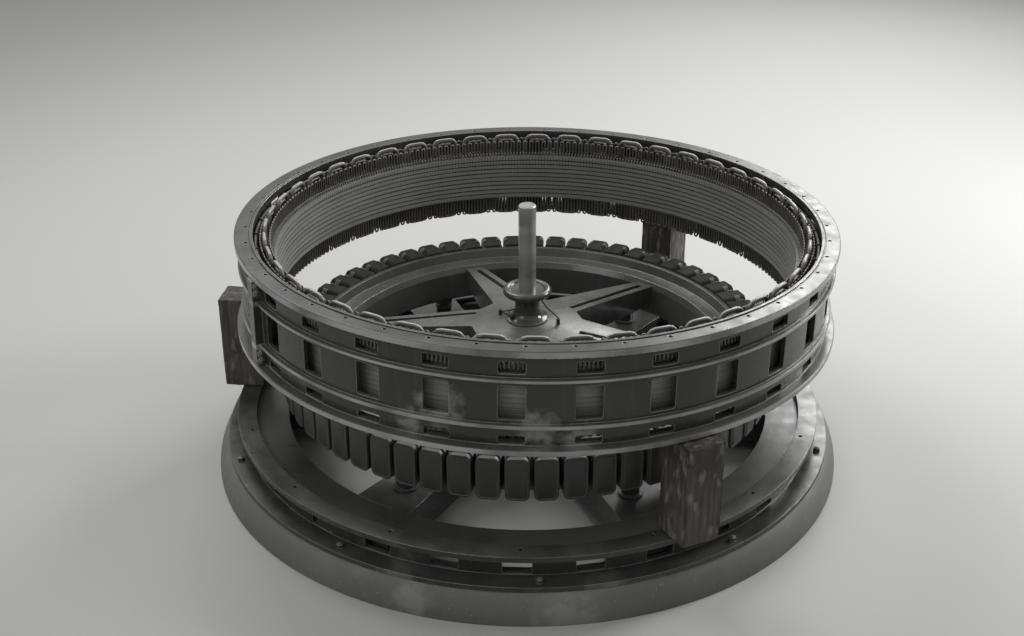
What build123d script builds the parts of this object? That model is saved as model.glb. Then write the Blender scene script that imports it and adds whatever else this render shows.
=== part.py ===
from math import cos, hypot, pi, radians, sin, sqrt
import os

from build123d import *

os.makedirs("parts", exist_ok=True)

# Millimetres, +Z up along the machine axis, z = 0 on the floor round the pit.
# +Y points away from the gallery the machine is looked at from.

seat_fit = 0.5

# Curb and foundation ring
curb_spread = 94
curb_setback = 12
curb_ledge = 96
curb_height = 215
curb_lip = 22
foot_overhang = 146
foot_thick = 37
ring_wall_radius = 2216
ring_wall_thick = 40
ring_flange_out = 61
ring_flange_in = 43
ring_flange_thick = 40
ring_height = 215
port_count = 28
port_width = 200
port_height = 104
port_sill = 8
port_corner = 18
ring_port_angle = -92.3
ring_bolt_count = 15
ring_bolt_angle = -91.7
ring_bolt_margin = 47
bolt_hole_radius = 14
anchor_count = 10
anchor_angle = -16.5
anchor_margin = 62
anchor_across = 46
anchor_height = 38

foot_top = curb_height + foot_thick
ring_top = curb_height + ring_height
ring_wall_inner = ring_wall_radius - ring_wall_thick
ring_flange_radius = ring_wall_radius + ring_flange_out
ring_flange_inner = ring_wall_inner - ring_flange_in
ring_bolt_circle = ring_flange_inner + ring_bolt_margin
foot_radius = ring_wall_radius + foot_overhang
anchor_circle = foot_radius - anchor_margin
curb_shoulder_radius = foot_radius - curb_setback
curb_floor_radius = curb_shoulder_radius + curb_spread
curb_inner_radius = ring_wall_inner - curb_ledge

# Stator frame, which stands a little aside of the axis and out of level on its blocks
stator_aside = 70
stator_tilt_x = -0.98
stator_tilt_y = 0.57
block_height = 739
frame_height = 735
frame_setback = 16
frame_flange_out = 50
frame_flange_in = 55
frame_flange_thick = 52
spigot_width = 20
spigot_height = 6
groove_width = 10
groove_depth = 8
flange_bolt_count = 44
flange_bolt_angle = -92.7
flange_bolt_margin = 80
rib_lip = 9
frame_foot_out = 72
frame_foot_thick = 43
frame_wall_thick = 30
rib_upper_out = 36
rib_upper_drop = 208
rib_upper_thick = 27
rib_lower_out = 30
rib_lower_drop = 535
rib_lower_thick = 33
shelf_depth = 58
window_width = 176
window_height = 238
window_drop = 269
slot_height = 84
slot_drop = 98
low_slot_height = 62
low_slot_drop = 622
window_corner = 16
frame_window_angle = -94.9
split_angle = -152.0
split_plate_thick = 45
split_plate_out = 62
joint_bolt_across = 50
joint_bolt_head = 26
joint_bolt_pitch = 56
joint_bolt_margin = 34

frame_bottom = ring_top + block_height
frame_top = frame_bottom + frame_height
frame_wall_radius = ring_wall_radius - frame_setback
frame_wall_inner = frame_wall_radius - frame_wall_thick
frame_radius = frame_wall_radius + frame_flange_out
frame_flange_inner = frame_wall_inner - frame_flange_in
frame_foot_radius = frame_wall_radius + frame_foot_out
flange_bolt_circle = frame_radius - flange_bolt_margin
rib_upper_radius = frame_wall_radius + rib_upper_out
rib_lower_radius = frame_wall_radius + rib_lower_out
shelf_inner = frame_wall_inner - shelf_depth
split_plate_radius = frame_wall_radius + split_plate_out
window_pitch = 360 / port_count

# Timber blocks
block_radial = 320
block_width = 300
block_overhang = 148
block_spare = 80
block_chamfer = 6
block_angles = {"block_left": 174.6, "block_front": -61.8, "block_rear": 56.4}

block_outer_radius = frame_foot_radius + block_overhang

# Core and end windings
core_depth = 160
core_fit = 7
core_drop = 172
core_length = 382
duct_count = 9
duct_height = 10
duct_depth = 46
finger_thick = 22
finger_setback = 23
core_bar_angle = 1.1
coil_count = 46
coil_angle = -91.2
coil_setback = 27
coil_radial = 112
coil_width = 216
coil_bar = 34
coil_bend = 60
upper_coil_top_drop = 14
lower_coil_end_drop = 733

core_back = shelf_inner - core_fit
core_bore = core_back - core_depth
finger_inner = core_bore + finger_setback
coil_inner = core_bore + coil_setback
core_top = frame_top - core_drop
core_bottom = core_top - core_length

# Rotor
pole_count = 60
pole_angle = -92.6
air_gap = 33
pole_shoe_thick = 50
pole_shoe_gap = 27
pole_shoe_corner = 42
pole_bottom = 630
pole_length = 326
field_coil_build = 28
pole_body_margin = 24
field_coil_gap = 18.7
field_coil_margin = 6
field_coil_corner = 30
pole_reach = 212
rim_lip = 32
rim_recess = 60
rim_bottom = 600
rim_height = 340
rim_depth = 200
ledge_chamfer = 25
ledge_drop = 72
ledge_height = 50
arm_count = 6
arm_angle = -13
arm_root_half_width = 178
arm_taper = 0.07
arm_slope = 0.17
arm_tip_drop = 20
arm_tip_depth = 170
arm_root_depth = 300
arm_rail_width = 48
arm_groove_width = 46
arm_groove_depth = 60
arm_groove_start = 430
arm_groove_margin = 70
disc_radius = 430
notch_radius = 55
hub_radius = 95
hub_flare_radius = 172
hub_flare_lip = 10
hub_flare_height = 70
hub_flare_bend = 80
journal_radius = 67
shaft_top = 2014
shaft_chamfer = 8
body_radius = 150
body_top = 900
coupling_radius = 400
coupling_bottom = 20
coupling_thick = 62
collar_radius = 157
collar_tube = 30
collar_height = 1305
collar_plate_thick = 24

pole_face_radius = core_bore - air_gap
shoe_inner = pole_face_radius - pole_shoe_thick
pole_shoe_width = 2 * pi * shoe_inner / pole_count - pole_shoe_gap
rim_outer_radius = pole_face_radius - pole_reach
field_coil_width = 2 * pi * (rim_outer_radius + field_coil_margin) / pole_count - field_coil_gap
pole_body_width = field_coil_width - 2 * field_coil_build
rim_lip_radius = rim_outer_radius - rim_lip
rim_recess_radius = rim_outer_radius - rim_recess
rim_bore_radius = rim_outer_radius - rim_depth
ledge_inner_radius = rim_bore_radius + ledge_chamfer
rim_top = rim_bottom + rim_height

clip_thick = 6
clip_depth = 40
brake_track_in = 30
brake_track_out = 20
brake_track_thick = 28
lead_radius = 5.5
lead_bend = 22
lead_post_radius = 15
lead_post_height = 22
right_lead = ((104, -40), (116, -50, 1237), (154, -64, 1185), (236, -78, 1112), (240, -92))
left_lead = ((-66, -52, 1176), (-104, -16, 1150), (-208, 68))
left_return = ((-208, 68), (-150, -4, 1104), (-118, -64))

# Lower bracket
bracket_arm_count = 6
bracket_arm_angle = -123.3
bracket_root_half_width = 80
bracket_end_half_width = 248
bracket_drop = 48
bracket_depth = 250
bracket_seat = 70
pit_cover_width = 291
barrel_radius = 420
barrel_bottom = 100
barrel_rise = 60
bearing_radius = 260
running_gap = 0.08
thrust_collar_radius = 235
thrust_collar_thick = 60
cover_thick = 25
bearing_rise = 12
jack_radius = 90
jack_gap = 8

brake_track_inner = rim_bore_radius + brake_track_in
brake_track_outer = rim_outer_radius - brake_track_out
jack_place = (brake_track_inner + brake_track_outer) / 2
pit_radius = ring_wall_inner - pit_cover_width
bracket_top = ring_top - bracket_drop
bracket_reach = curb_inner_radius + bracket_seat
barrel_top = bracket_top + barrel_rise
bearing_top = barrel_top + bearing_rise
ledge_top = rim_top - ledge_drop


def at(radius, angle, height):
    return (radius * cos(radians(angle)), radius * sin(radians(angle)), height)


def facing(radius, angle, height):
    """Plane that looks outward at this place, its x along the tangent."""
    return Plane(
        origin=at(radius, angle, height),
        x_dir=(-sin(radians(angle)), cos(radians(angle)), 0),
        z_dir=(cos(radians(angle)), sin(radians(angle)), 0),
    )


def around(start, count):
    return [Location((0, 0, 0), (0, 0, start + i * 360 / count)) for i in range(count)]


def hexagon_across(width):
    return width / sqrt(3)


def keep(piece, name, place=Location()):
    made = piece.part.moved(place)
    made.label = name
    export_step(made, f"parts/{name}.step")


stator_place = (
    Location((stator_aside, 0, frame_top)) * Location((0, 0, 0), (stator_tilt_x, stator_tilt_y, 0))
    * Location((0, 0, -frame_top)))
stator_seat = Plane(stator_place * Location((0, 0, frame_bottom)))


with BuildPart() as plinth:
    with BuildSketch(Plane.XZ):
        with BuildLine():
            Polyline((curb_inner_radius, 0), (curb_floor_radius, 0), (curb_floor_radius, curb_lip))
            RadiusArc((curb_floor_radius, curb_lip), (curb_shoulder_radius, curb_height), -260)
            Polyline((curb_shoulder_radius, curb_height), (curb_inner_radius, curb_height),
                     (curb_inner_radius, 0))
        make_face()
    revolve(axis=Axis.Z)
keep(plinth, "plinth")

with BuildPart() as port_cutter:
    with BuildSketch(facing(ring_wall_inner - 10, 0, foot_top + port_sill + port_height / 2)):
        RectangleRounded(port_width, port_height, port_corner)
    extrude(amount=ring_wall_thick + 20)

with BuildPart() as ring_bolt_hole:
    with Locations(at(ring_bolt_circle, 0, ring_top - ring_flange_thick)):
        Cylinder(bolt_hole_radius, 2 * ring_flange_thick)

with BuildPart() as base_ring:
    with BuildSketch(Plane.XZ):
        with BuildLine():
            Polyline(
                (ring_wall_inner, curb_height), (foot_radius, curb_height),
                (foot_radius, foot_top), (ring_wall_radius, foot_top),
                (ring_wall_radius, ring_top - ring_flange_thick),
                (ring_flange_radius, ring_top - ring_flange_thick),
                (ring_flange_radius, ring_top), (ring_flange_inner, ring_top),
                (ring_flange_inner, ring_top - ring_flange_thick),
                (ring_wall_inner, ring_top - ring_flange_thick), (ring_wall_inner, curb_height))
        make_face()
    revolve(axis=Axis.Z)
    with Locations(*around(ring_port_angle, port_count)):
        add(port_cutter.part, mode=Mode.SUBTRACT)
    with Locations(*around(ring_bolt_angle, ring_bolt_count)):
        add(ring_bolt_hole.part, mode=Mode.SUBTRACT)
keep(base_ring, "base_ring")

with BuildPart() as anchor:
    with BuildSketch(Plane.XY.offset(foot_top)):
        with Locations((anchor_circle, 0)):
            RegularPolygon(hexagon_across(anchor_across), 6)
    extrude(amount=anchor_height)

with BuildPart() as base_bolts:
    with Locations(*around(anchor_angle, anchor_count)):
        add(anchor.part)
keep(base_bolts, "base_bolts")

with BuildPart() as pit_cover:
    with BuildSketch(Plane.XY.offset(bracket_top)):
        Circle(ring_wall_inner)
        Circle(pit_radius, mode=Mode.SUBTRACT)
    extrude(amount=-cover_thick)
keep(pit_cover, "pit_cover")

bracket_low = bracket_top - bracket_depth
with BuildPart() as bracket_arm:
    with BuildSketch(Plane.XZ):
        with BuildLine():
            Polyline(
                (bearing_radius + bracket_seat, bracket_low), (curb_inner_radius, bracket_low),
                (curb_inner_radius, curb_height), (bracket_reach, curb_height),
                (bracket_reach, bracket_top - cover_thick), (pit_radius, bracket_top - cover_thick),
                (pit_radius, bracket_top), (bearing_radius + bracket_seat, bracket_top),
                (bearing_radius + bracket_seat, bracket_low))
        make_face()
    extrude(amount=bracket_end_half_width, both=True)
    with BuildSketch(Plane.XY.offset(bracket_low)):
        with BuildLine():
            Polyline(
                (0, -bracket_root_half_width), (bracket_reach, -bracket_end_half_width),
                (bracket_reach, bracket_end_half_width), (0, bracket_root_half_width),
                (0, -bracket_root_half_width))
        make_face()
    extrude(amount=bracket_depth, mode=Mode.INTERSECT)
    add(pit_cover.part, mode=Mode.SUBTRACT)
    add(plinth.part, mode=Mode.SUBTRACT)

with BuildPart() as lower_bracket:
    with Locations((0, 0, barrel_bottom)):
        Cylinder(barrel_radius, barrel_top - barrel_bottom, align=(Align.CENTER, Align.CENTER, Align.MIN))
    with Locations(*around(bracket_arm_angle, bracket_arm_count)):
        add(bracket_arm.part)
    with Locations((0, 0, barrel_bottom - bracket_seat)):
        Cylinder(bearing_radius, barrel_top - barrel_bottom + 2 * bracket_seat,
                 align=(Align.CENTER, Align.CENTER, Align.MIN), mode=Mode.SUBTRACT)
keep(lower_bracket, "lower_bracket")

with BuildPart() as lower_bearing:
    with Locations((0, 0, barrel_bottom)):
        Cylinder(bearing_radius, bearing_top - barrel_bottom,
                 align=(Align.CENTER, Align.CENTER, Align.MIN))
        Cylinder(body_radius + running_gap, bearing_top - barrel_bottom,
                 align=(Align.CENTER, Align.CENTER, Align.MIN), mode=Mode.SUBTRACT)
keep(lower_bearing, "lower_bearing")

with BuildPart() as brake_jacks:
    for i in range(bracket_arm_count):
        angle = bracket_arm_angle + i * 360 / bracket_arm_count
        with Locations(at(jack_place, angle, bracket_top)):
            Cylinder(jack_radius, rim_bottom - brake_track_thick - jack_gap - bracket_top,
                     align=(Align.CENTER, Align.CENTER, Align.MIN))
keep(brake_jacks, "brake_jacks")

for name, angle in block_angles.items():
    with BuildPart() as block:
        with Locations(Location(at(block_outer_radius - block_radial / 2, angle, ring_top), (0, 0, angle))):
            Box(block_radial, block_width, block_height + block_spare, align=(Align.CENTER, Align.CENTER, Align.MIN))
        chamfer(block.edges().filter_by(Axis.Z), block_chamfer)
        split(bisect_by=stator_seat, keep=Keep.BOTTOM)
    keep(block, name)

shelf_top = frame_top - rib_upper_drop
shelf_low = frame_top - rib_lower_drop
foot_level = frame_bottom + frame_foot_thick
groove_inner = frame_flange_inner + spigot_width
with BuildSketch() as frame_section:
    with BuildLine():
        Polyline(
            (frame_flange_inner, frame_top + spigot_height), (groove_inner, frame_top + spigot_height),
            (groove_inner, frame_top - groove_depth), (groove_inner + groove_width, frame_top - groove_depth),
            (groove_inner + groove_width, frame_top), (frame_radius, frame_top),
            (frame_radius, frame_top - frame_flange_thick),
            (frame_wall_radius, frame_top - frame_flange_thick),
            (frame_wall_radius, shelf_top), (rib_upper_radius, shelf_top),
            (rib_upper_radius, shelf_top - rib_upper_thick), (frame_wall_radius, shelf_top - rib_upper_thick),
            (frame_wall_radius, shelf_low), (rib_lower_radius, shelf_low),
            (rib_lower_radius, shelf_low - rib_lower_thick), (frame_wall_radius, shelf_low - rib_lower_thick),
            (frame_wall_radius, foot_level), (frame_foot_radius, foot_level),
            (frame_foot_radius, frame_bottom), (frame_flange_inner, frame_bottom),
            (frame_flange_inner, foot_level), (frame_wall_inner, foot_level),
            (frame_wall_inner, shelf_low - rib_lower_thick), (shelf_inner, shelf_low - rib_lower_thick),
            (shelf_inner, shelf_low), (frame_wall_inner, shelf_low),
            (frame_wall_inner, shelf_top - rib_upper_thick), (shelf_inner, shelf_top - rib_upper_thick),
            (shelf_inner, shelf_top), (frame_wall_inner, shelf_top),
            (frame_wall_inner, frame_top - frame_flange_thick),
            (frame_flange_inner, frame_top - frame_flange_thick),
            (frame_flange_inner, frame_top + spigot_height))
    make_face()
    lips = [v for v in frame_section.vertices()
            if round(v.X) in (rib_upper_radius, rib_lower_radius, frame_foot_radius, frame_radius)]
    fillet(lips, rib_lip)

window_rows = (
    (slot_drop, slot_height), (window_drop, window_height), (low_slot_drop, low_slot_height))
with BuildPart() as window_cutter:
    for drop, tall in window_rows:
        with BuildSketch(facing(frame_wall_inner - 10, 0, frame_top - drop - tall / 2)):
            RectangleRounded(window_width, tall, window_corner)
        extrude(amount=frame_wall_thick + 20)

with BuildPart() as flange_bolt_hole:
    with Locations(at(flange_bolt_circle, 0, frame_top)):
        Cylinder(bolt_hole_radius, 3 * frame_flange_thick)

plate_tall = frame_height - frame_foot_thick - frame_flange_thick
for name, start in (("stator_frame_a", split_angle), ("stator_frame_b", split_angle + 180)):
    with BuildPart() as half:
        with BuildSketch(Plane.XZ.rotated((0, 0, start))):
            add(frame_section.sketch)
        revolve(axis=Axis.Z, revolution_arc=180)
        for edge_angle, side in ((start, Align.MIN), (start + 180, Align.MAX)):
            with Locations(Location(at(frame_wall_inner, edge_angle, foot_level), (0, 0, edge_angle))):
                Box(split_plate_radius - frame_wall_inner, split_plate_thick, plate_tall,
                    align=(Align.MIN, side, Align.MIN))
        inside = [place for place in around(frame_window_angle, port_count)
                  if 0 < (place.orientation.Z - start) % 360 < 180]
        with Locations(*inside):
            add(window_cutter.part, mode=Mode.SUBTRACT)
        holed = [place for place in around(flange_bolt_angle, flange_bolt_count)
                 if 0 < (place.orientation.Z - start) % 360 < 180]
        with Locations(*holed):
            add(flange_bolt_hole.part, mode=Mode.SUBTRACT)
    keep(half, name, stator_place)

joint_levels = (
    frame_top - frame_flange_thick - joint_bolt_margin,
    frame_top - frame_flange_thick - joint_bolt_margin - joint_bolt_pitch,
    foot_level + joint_bolt_margin + joint_bolt_pitch,
    foot_level + joint_bolt_margin)
bolt_place = (frame_wall_radius + split_plate_radius) / 2
with BuildPart() as joint_bolts:
    for start in (split_angle, split_angle + 180):
        for side in (-1, 1):
            face = Plane.XZ.rotated((0, 0, start)).offset(-side * split_plate_thick)
            with BuildSketch(face):
                with Locations(*[(bolt_place, level) for level in joint_levels]):
                    RegularPolygon(hexagon_across(joint_bolt_across), 6)
            extrude(amount=-side * joint_bolt_head)
keep(joint_bolts, "joint_bolts", stator_place)

duct_pitch = core_length / (duct_count + 1)
duct_line = [(core_bore, core_bottom), (core_back, core_bottom), (core_back, core_top), (core_bore, core_top)]
for i in range(duct_count):
    upper = core_top - (i + 1) * duct_pitch + duct_height / 2
    duct_line += [(core_bore, upper), (core_bore + duct_depth, upper),
                  (core_bore + duct_depth, upper - duct_height), (core_bore, upper - duct_height)]
duct_line.append((core_bore, core_bottom))
with BuildPart() as core:
    with BuildSketch(Plane.XZ):
        with BuildLine():
            Polyline(*duct_line)
        make_face()
    revolve(axis=Axis.Z)
keep(core, "core", stator_place)

shelf_gap_top = shelf_top - rib_upper_thick
with BuildPart() as core_bar:
    with BuildSketch(Plane.XZ.rotated((0, 0, -core_bar_angle / 2))):
        with Locations(((core_back + frame_wall_inner) / 2, (shelf_gap_top + shelf_low) / 2)):
            Rectangle(frame_wall_inner - core_back, shelf_gap_top - shelf_low)
    revolve(axis=Axis.Z, revolution_arc=core_bar_angle)

with BuildPart() as core_bars:
    with Locations(*around(frame_window_angle + window_pitch / 2, port_count)):
        add(core_bar.part)
keep(core_bars, "core_bars", stator_place)

for name, low in (("clamp_fingers_upper", core_top), ("clamp_fingers_lower", core_bottom - finger_thick)):
    with BuildPart() as fingers:
        with BuildSketch(Plane.XZ):
            with Locations(((finger_inner + core_back) / 2, low + finger_thick / 2)):
                Rectangle(core_back - finger_inner, finger_thick)
        revolve(axis=Axis.Z)
    keep(fingers, name, stator_place)

coil_runs = (
    ("upper_coils", core_top + finger_thick, frame_top - upper_coil_top_drop),
    ("lower_coils", core_bottom - finger_thick, frame_top - lower_coil_end_drop))
for name, seat, nose in coil_runs:
    rise = 1 if nose > seat else -1
    inner_bend = coil_bend - coil_bar
    half_width = coil_width / 2
    with BuildPart() as coil:
        with BuildSketch(facing(coil_inner, 0, seat)) as loop:
            with BuildLine():
                Polyline((-half_width, 0), (-half_width, nose - seat), (half_width, nose - seat),
                         (half_width, 0), (half_width - coil_bar, 0),
                         (half_width - coil_bar, nose - seat - rise * coil_bar),
                         (coil_bar - half_width, nose - seat - rise * coil_bar),
                         (coil_bar - half_width, 0), (-half_width, 0))
            make_face()
            fillet([v for v in loop.vertices() if abs(v.Y - (nose - seat)) < 1], coil_bend)
            fillet([v for v in loop.vertices() if abs(v.Y - (nose - seat - rise * coil_bar)) < 1], inner_bend)
        extrude(amount=coil_radial)
    with BuildPart() as coils:
        with Locations(*around(coil_angle, coil_count)):
            add(coil.part)
    keep(coils, name, stator_place)


def arm_crown(radius):
    """Height of the sloping top of the arms."""
    return ledge_top - arm_tip_drop + arm_slope * (rim_bore_radius - radius)


hub_seat = arm_crown(hub_flare_radius)
hub_top = collar_height - collar_plate_thick / 2
collar_low = bearing_top + running_gap
with BuildPart() as shaft:
    with BuildSketch(Plane.XZ):
        with BuildLine():
            Polyline(
                (0, coupling_bottom), (coupling_radius, coupling_bottom),
                (coupling_radius, coupling_bottom + coupling_thick), (body_radius, coupling_bottom + coupling_thick),
                (body_radius, collar_low), (thrust_collar_radius, collar_low),
                (thrust_collar_radius, collar_low + thrust_collar_thick),
                (body_radius, collar_low + thrust_collar_thick), (body_radius, body_top),
                (journal_radius, body_top), (journal_radius, shaft_top),
                (0, shaft_top), (0, coupling_bottom))
        make_face()
    revolve(axis=Axis.Z)
    chamfer(shaft.faces().sort_by(Axis.Z)[-1].edges(), shaft_chamfer)
keep(shaft, "shaft")

with BuildPart() as collar_ring:
    with Locations((0, 0, collar_height)):
        Torus(collar_radius, collar_tube)
        Cylinder(collar_radius, collar_plate_thick)
        Cylinder(journal_radius + seat_fit, 4 * collar_tube, mode=Mode.SUBTRACT)
keep(collar_ring, "collar_ring")

with BuildPart() as hub:
    with BuildSketch(Plane.XZ):
        with BuildLine():
            Polyline(
                (hub_radius, hub_seat + hub_flare_lip + hub_flare_height), (hub_radius, hub_top),
                (journal_radius + seat_fit, hub_top), (journal_radius + seat_fit, hub_seat),
                (hub_flare_radius, hub_seat), (hub_flare_radius, hub_seat + hub_flare_lip))
            RadiusArc(
                (hub_flare_radius, hub_seat + hub_flare_lip),
                (hub_radius, hub_seat + hub_flare_lip + hub_flare_height), hub_flare_bend)
        make_face()
    revolve(axis=Axis.Z)
keep(hub, "hub")

arm_tip_half_width = arm_root_half_width - arm_taper * rim_bore_radius
with BuildSketch() as spider_arm_plan:
    with BuildLine():
        Polyline(
            (0, -arm_root_half_width), (rim_bore_radius, -arm_tip_half_width),
            (rim_bore_radius, arm_tip_half_width), (0, arm_root_half_width), (0, -arm_root_half_width))
    make_face()

with BuildSketch() as spider_plan:
    Circle(disc_radius)
    with Locations(*around(arm_angle, arm_count)):
        add(spider_arm_plan.sketch)
    fillet([v for v in spider_plan.vertices() if round(hypot(v.X, v.Y)) == disc_radius], notch_radius)

arm_rail_edge = -arm_root_half_width + arm_rail_width
groove_end = rim_bore_radius - arm_groove_margin
with BuildSketch() as groove_plan:
    with BuildLine():
        Polyline(
            (arm_groove_start, arm_rail_edge + arm_taper * arm_groove_start),
            (groove_end, arm_rail_edge + arm_taper * groove_end),
            (groove_end, arm_rail_edge + arm_groove_width + arm_taper * groove_end),
            (arm_groove_start, arm_rail_edge + arm_groove_width + arm_taper * arm_groove_start),
            (arm_groove_start, arm_rail_edge + arm_taper * arm_groove_start))
    make_face()

arm_low = arm_crown(rim_bore_radius) - arm_tip_depth
hub_low = hub_seat - arm_root_depth
with BuildPart() as groove_cutter:
    with BuildSketch(Plane.XY.offset(hub_low)):
        with Locations(*around(arm_angle, arm_count)):
            add(groove_plan.sketch)
    extrude(amount=hub_top - hub_low)
    with BuildSketch(Plane.XZ):
        with BuildLine():
            Polyline(
                (0, arm_crown(0) - arm_groove_depth), (rim_bore_radius, arm_crown(rim_bore_radius) - arm_groove_depth),
                (rim_bore_radius, hub_top), (0, hub_top), (0, arm_crown(0) - arm_groove_depth))
        make_face()
    revolve(axis=Axis.Z, mode=Mode.INTERSECT)

with BuildPart() as spider:
    with BuildSketch(Plane.XY.offset(min(hub_low, arm_low))):
        add(spider_plan.sketch)
    extrude(amount=hub_seat - min(hub_low, arm_low))
    with BuildSketch(Plane.XZ):
        with BuildLine():
            Polyline(
                (body_radius + seat_fit, hub_low), (disc_radius, hub_low), (rim_bore_radius, arm_low),
                (rim_bore_radius, arm_crown(rim_bore_radius)), (hub_flare_radius, hub_seat),
                (journal_radius + seat_fit, hub_seat), (journal_radius + seat_fit, body_top),
                (body_radius + seat_fit, body_top), (body_radius + seat_fit, hub_low))
        make_face()
    revolve(axis=Axis.Z, mode=Mode.INTERSECT)
    add(groove_cutter.part, mode=Mode.SUBTRACT)
keep(spider, "spider")


def on_arms(place):
    """A lead's end, set down on the sloping top where only its place is given."""
    if len(place) == 3:
        return place
    return (*place, arm_crown(hypot(*place)) + lead_post_height)


collar_under = (*right_lead[0], hub_top - lead_radius)
with BuildPart() as rotor_leads:
    for route in ((collar_under, *right_lead[1:]), left_lead, left_return):
        points = [on_arms(place) for place in route]
        with BuildLine() as path:
            FilletPolyline(*points, radius=lead_bend)
        with BuildSketch(path.line ^ 0):
            Circle(lead_radius)
        sweep()
    for place in (right_lead[-1], left_lead[-1], left_return[-1]):
        top = on_arms(place)
        with Locations(top):
            Cylinder(lead_post_radius, 2 * lead_post_height)
    add(spider.part, mode=Mode.SUBTRACT)
    add(hub.part, mode=Mode.SUBTRACT)
keep(rotor_leads, "rotor_leads")

with BuildPart() as rim:
    with BuildSketch(Plane.XZ):
        with BuildLine():
            Polyline(
                (rim_bore_radius, rim_bottom), (rim_outer_radius, rim_bottom), (rim_outer_radius, rim_top),
                (rim_lip_radius, rim_top), (rim_recess_radius, ledge_top), (ledge_inner_radius, ledge_top),
                (rim_bore_radius, ledge_top - ledge_height), (rim_bore_radius, rim_bottom))
        make_face()
    revolve(axis=Axis.Z)
keep(rim, "rim")

with BuildPart() as brake_track:
    with BuildSketch(Plane.XY.offset(rim_bottom)):
        Circle(brake_track_outer)
        Circle(brake_track_inner, mode=Mode.SUBTRACT)
    extrude(amount=-brake_track_thick)
keep(brake_track, "brake_track")

pole_middle = pole_bottom + pole_length / 2
with BuildPart() as pole_body:
    with Locations((rim_outer_radius, 0, pole_middle)):
        Box(shoe_inner - rim_outer_radius, pole_body_width, pole_length - 2 * pole_body_margin,
            align=(Align.MIN, Align.CENTER, Align.CENTER))

with BuildPart() as field_coil:
    with BuildSketch(facing(rim_outer_radius + field_coil_margin, 0, pole_middle)):
        RectangleRounded(field_coil_width, pole_length, field_coil_corner)
        Rectangle(pole_body_width, pole_length - 2 * pole_body_margin, mode=Mode.SUBTRACT)
    extrude(amount=shoe_inner - rim_outer_radius - 2 * field_coil_margin)

with BuildPart() as pole_shoe:
    with BuildSketch(facing(shoe_inner, 0, pole_middle)):
        RectangleRounded(pole_shoe_width, pole_length, pole_shoe_corner)
    extrude(amount=pole_shoe_thick)

clip_across = field_coil_width / 2 - field_coil_corner
clip_level = pole_length / 2 - field_coil_corner
with BuildPart() as pole_clip_pair:
    with BuildSketch(facing(shoe_inner - field_coil_margin - clip_depth, 0, pole_middle)):
        with Locations((-clip_across, clip_level), (clip_across, clip_level)):
            Circle(field_coil_corner + clip_thick)
            Circle(field_coil_corner, mode=Mode.SUBTRACT)
        with Locations((0, clip_level)):
            Rectangle(2 * clip_across, 4 * field_coil_corner, mode=Mode.SUBTRACT)
        with Locations((0, clip_level - 2 * field_coil_corner)):
            Rectangle(2 * field_coil_width, 4 * field_coil_corner, mode=Mode.SUBTRACT)
    extrude(amount=clip_depth)

for name, single in (
        ("pole_bodies", pole_body), ("field_coils", field_coil), ("pole_shoes", pole_shoe),
        ("pole_clips", pole_clip_pair)):
    with BuildPart() as full_set:
        with Locations(*around(pole_angle, pole_count)):
            add(single.part)
    keep(full_set, name)
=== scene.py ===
import math

import bpy
from mathutils import Matrix, Vector


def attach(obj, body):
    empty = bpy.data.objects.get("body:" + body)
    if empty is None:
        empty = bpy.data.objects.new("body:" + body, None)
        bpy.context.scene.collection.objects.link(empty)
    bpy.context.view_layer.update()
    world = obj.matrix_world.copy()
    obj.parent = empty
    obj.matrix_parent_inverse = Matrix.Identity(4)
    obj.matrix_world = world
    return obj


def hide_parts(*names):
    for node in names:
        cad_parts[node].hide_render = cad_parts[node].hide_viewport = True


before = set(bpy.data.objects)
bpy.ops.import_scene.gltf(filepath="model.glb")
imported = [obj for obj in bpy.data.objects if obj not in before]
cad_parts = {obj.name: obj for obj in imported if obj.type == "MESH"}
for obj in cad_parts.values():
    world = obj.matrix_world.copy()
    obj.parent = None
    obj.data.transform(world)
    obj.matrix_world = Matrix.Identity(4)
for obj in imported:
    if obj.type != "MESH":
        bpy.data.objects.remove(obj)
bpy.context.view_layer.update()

scene = bpy.context.scene

# The stator stands a little aside of the axis and out of level on its blocks, turned about its flange's centre
stator = {"aside": 0.070, "tiltX": -0.98, "tiltY": 0.57, "bottom": 1.169, "top": 1.904}
statorPlace = (Matrix.Translation((stator["aside"], 0, stator["top"]))
               @ Matrix.Rotation(math.radians(stator["tiltX"]), 4, "X")
               @ Matrix.Rotation(math.radians(stator["tiltY"]), 4, "Y")
               @ Matrix.Translation((0, 0, -stator["top"])))


# Small helpers

times, plus, larger = ({"operation": operation} for operation in ("MULTIPLY", "ADD", "MAXIMUM"))


def hexColour(code):
    # sRGB hex to a linear colour
    values = [int(code[i:i + 2], 16) / 255 for i in (1, 3, 5)]
    linear = [v / 12.92 if v <= 0.04045 else ((v + 0.055) / 1.055) ** 2.4 for v in values]
    return (*linear, 1.0)


def feed(tree, node, inputs):
    # what goes into a node: numbers, vectors, sRGB hex colours or the outputs of other nodes
    for key, value in inputs.items():
        if isinstance(value, bpy.types.NodeSocket):
            tree.links.new(value, node.inputs[key])
        else:
            node.inputs[key].default_value = hexColour(value) if isinstance(value, str) else value


def addNode(tree, kind, settings=None, inputs=None, output=0):
    # one node with its settings and inputs; gives the output that is wanted of it
    node = tree.nodes.new(kind)
    for key, value in (settings or {}).items():
        setattr(node, key, value)
    feed(tree, node, inputs or {})
    return node.outputs[output] if node.outputs else node


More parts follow.
